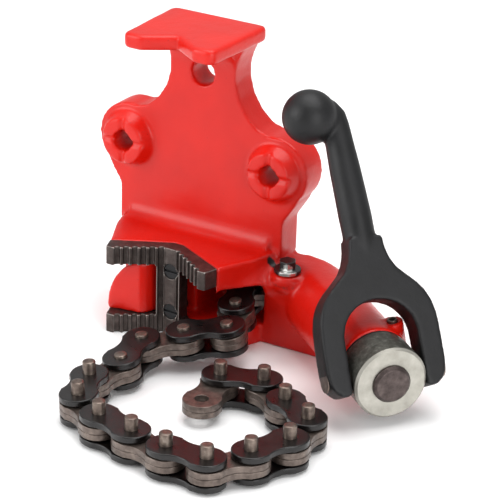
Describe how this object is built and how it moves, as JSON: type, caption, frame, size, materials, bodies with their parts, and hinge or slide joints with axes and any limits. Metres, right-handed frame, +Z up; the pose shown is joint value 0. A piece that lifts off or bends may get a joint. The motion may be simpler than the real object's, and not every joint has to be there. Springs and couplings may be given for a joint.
{
  "type": "chain pipe vise",
  "caption": "Chain pipe vise: cast frame with mounting ears and pipe rest, toothed V-jaw, leaf chain drawn tight by a long nut that a fork lever turns.",
  "frame": {"origin": "on the foot, at the middle of the back plate's front face", "axes": "+Z up the back plate, +Y out of the plate's back, +X towards the arm and the barrel"},
  "size_m": [0.2204, 0.1757, 0.1603],
  "materials": {
    "red_enamel": "gloss enamel over sand-cast iron",
    "jaw_steel": "hardened, ground faces",
    "black_forging": "black oxide on a forging",
    "zinc_plate": "dull zinc plate, machined",
    "chain_black": "oiled black plates",
    "chain_brown": "oiled heat-treated plates",
    "pin_steel": "turned steel"
  },
  "bodies": {
    "frame": {"body_casting": "red_enamel", "v_jaw": "jaw_steel", "jaw_screws": "black_forging", "guide_bolt": "black_forging", "nut_roll_pin": "pin_steel", "thrust_washer": "black_forging"},
    "nut": {"drive_nut": "zinc_plate", "pivot_pins": "pin_steel"},
    "lever": {"handle": "black_forging"},
    "screw": {"chain_screw": "pin_steel"},
    "chain_link_00": {"outer_plates_0": "chain_black", "link_pins_0": "pin_steel"},
    "chain_link_01": {"inner_plates_0": "chain_brown"},
    "chain_link_02": {"outer_plates_1": "chain_black", "link_pins_1": "pin_steel"},
    "chain_link_03": {"inner_plates_1": "chain_brown"},
    "chain_link_04": {"outer_plates_2": "chain_black", "link_pins_2": "pin_steel"},
    "chain_link_05": {"inner_plates_2": "chain_brown"},
    "chain_link_06": {"outer_plates_3": "chain_black", "link_pins_3": "pin_steel"},
    "chain_link_07": {"inner_plates_3": "chain_brown"},
    "chain_link_08": {"outer_plates_4": "chain_black", "link_pins_4": "pin_steel"},
    "chain_link_09": {"inner_plates_4": "chain_brown"},
    "chain_link_10": {"outer_plates_5": "chain_black", "link_pins_5": "pin_steel"},
    "chain_link_11": {"inner_plates_5": "chain_brown"},
    "chain_link_12": {"outer_plates_6": "chain_black", "link_pins_6": "pin_steel"},
    "chain_link_13": {"inner_plates_6": "chain_brown"},
    "chain_link_14": {"outer_plates_7": "chain_black", "link_pins_7": "pin_steel"},
    "chain_link_15": {"inner_plates_7": "chain_brown"},
    "chain_link_16": {"outer_plates_8": "chain_black", "link_pins_8": "pin_steel"},
    "chain_link_17": {"inner_plates_8": "chain_brown"},
    "chain_link_18": {"outer_plates_9": "chain_black", "link_pins_9": "pin_steel"},
    "chain_link_19": {"inner_plates_9": "chain_brown"}
  },
  "joints": [
    {"name": "nut_turn", "type": "hinge", "parent": "frame", "child": "nut", "pos_m": [0.1409, -0.0544, 0.0241], "axis": [0.766, -0.6428, 0], "range_deg": [-80, 0]},
    {"name": "lever_swing", "type": "hinge", "parent": "nut", "child": "lever", "pos_m": [0.13324, -0.04797, 0.0241], "axis": [0.6428, 0.766, 0], "range_deg": [0, 110]},
    {"name": "screw_draw", "type": "slide", "parent": "frame", "child": "screw", "axis": [0.766, -0.6428, 0], "range_m": [-0.00005, 0.0012]},
    {"name": "chain_bend_00", "type": "hinge", "parent": "screw", "child": "chain_link_00", "pos_m": [0.07196, 0.00345, 0.0241], "axis": [-0.0384, -0.014, 0.9992], "range_deg": [-0.2, 0.2]},
    {"name": "chain_bend_01", "type": "hinge", "parent": "chain_link_00", "child": "chain_link_01", "pos_m": [0.05049, 0.0042, 0.02329], "axis": [-0.0384, -0.014, 0.9992], "range_deg": [-0.2, 0.2]},
    {"name": "chain_bend_02", "type": "hinge", "parent": "chain_link_01", "child": "chain_link_02", "pos_m": [0.03048, -0.00348, 0.02151], "axis": [-0.0628, -0.0922, 0.9938], "range_deg": [-0.8, 0.2]},
    {"name": "chain_bend_03", "type": "hinge", "parent": "chain_link_02", "child": "chain_link_03", "pos_m": [0.03746, -0.02376, 0.02007], "axis": [-0.0628, -0.0922, 0.9938], "range_deg": [-0.8, 0.2]},
    {"name": "chain_bend_04", "type": "hinge", "parent": "chain_link_03", "child": "chain_link_04", "pos_m": [0.04478, -0.04387, 0.01795], "axis": [-0.097, -0.1304, 0.9867], "range_deg": [-0.5, 0.2]},
    {"name": "chain_bend_05", "type": "hinge", "parent": "chain_link_04", "child": "chain_link_05", "pos_m": [0.02619, -0.05417, 0.01476], "axis": [-0.097, -0.1304, 0.9867], "range_deg": [-10, 0.3]},
    {"name": "chain_bend_06", "type": "hinge", "parent": "chain_link_05", "child": "chain_link_06", "pos_m": [0.01001, -0.06799, 0.01166], "axis": [-0.0767, -0.0852, 0.9934], "range_deg": [-24, 0.3]},
    {"name": "chain_bend_07", "type": "hinge", "parent": "chain_link_06", "child": "chain_link_07", "pos_m": [0.01188, -0.08934, 0.00997], "axis": [-0.0767, -0.0852, 0.9934], "range_deg": [-10, 1]},
    {"name": "chain_bend_08", "type": "hinge", "parent": "chain_link_07", "child": "chain_link_08", "pos_m": [0.00723, -0.1103, 0.00875], "axis": [-0.0454, -0.0157, 0.9988], "range_deg": [-25, 3]},
    {"name": "chain_bend_09", "type": "hinge", "parent": "chain_link_08", "child": "chain_link_09", "pos_m": [0.01458, -0.1305, 0.00876], "axis": [-0.0454, -0.0157, 0.9988], "range_deg": [-41, 5]},
    {"name": "chain_bend_10", "type": "hinge", "parent": "chain_link_09", "child": "chain_link_10", "pos_m": [0.0333, -0.14109, 0.00877], "axis": [0, -0.0035, 1], "range_deg": [-20, 12]},
    {"name": "chain_bend_11", "type": "hinge", "parent": "chain_link_10", "child": "chain_link_11", "pos_m": [0.05429, -0.14574, 0.00876], "axis": [0, -0.0035, 1], "range_deg": [-12, 8]},
    {"name": "chain_bend_12", "type": "hinge", "parent": "chain_link_11", "child": "chain_link_12", "pos_m": [0.07546, -0.14948, 0.00876], "axis": [0, 0, 1], "range_deg": [-15, 8]},
    {"name": "chain_bend_13", "type": "hinge", "parent": "chain_link_12", "child": "chain_link_13", "pos_m": [0.09695, -0.14891, 0.00876], "axis": [0, 0, 1], "range_deg": [-12, 8]},
    {"name": "chain_bend_14", "type": "hinge", "parent": "chain_link_13", "child": "chain_link_14", "pos_m": [0.11004, -0.13186, 0.00876], "axis": [0, 0, 1], "range_deg": [-10, 8]},
    {"name": "chain_bend_15", "type": "hinge", "parent": "chain_link_14", "child": "chain_link_15", "pos_m": [0.11913, -0.11237, 0.00876], "axis": [0, 0, 1], "range_deg": [-10, 12]},
    {"name": "chain_bend_16", "type": "hinge", "parent": "chain_link_15", "child": "chain_link_16", "pos_m": [0.11669, -0.09101, 0.00876], "axis": [0, 0, 1], "range_deg": [-18, 12]},
    {"name": "chain_bend_17", "type": "hinge", "parent": "chain_link_16", "child": "chain_link_17", "pos_m": [0.09817, -0.0801, 0.00876], "axis": [0, 0, 1], "range_deg": [-12, 12]},
    {"name": "chain_bend_18", "type": "hinge", "parent": "chain_link_17", "child": "chain_link_18", "pos_m": [0.07994, -0.0687, 0.00876], "axis": [0, 0, 1], "range_deg": [-45, 25]},
    {"name": "chain_bend_19", "type": "hinge", "parent": "chain_link_18", "child": "chain_link_19", "pos_m": [0.05961, -0.0757, 0.00876], "axis": [0, 0, 1], "range_deg": [-45, 25]}
  ],
  "couplings": [
    {"joint": "screw_draw", "follows": "nut_turn", "m_per_rad": -0.00080851}
  ]
}
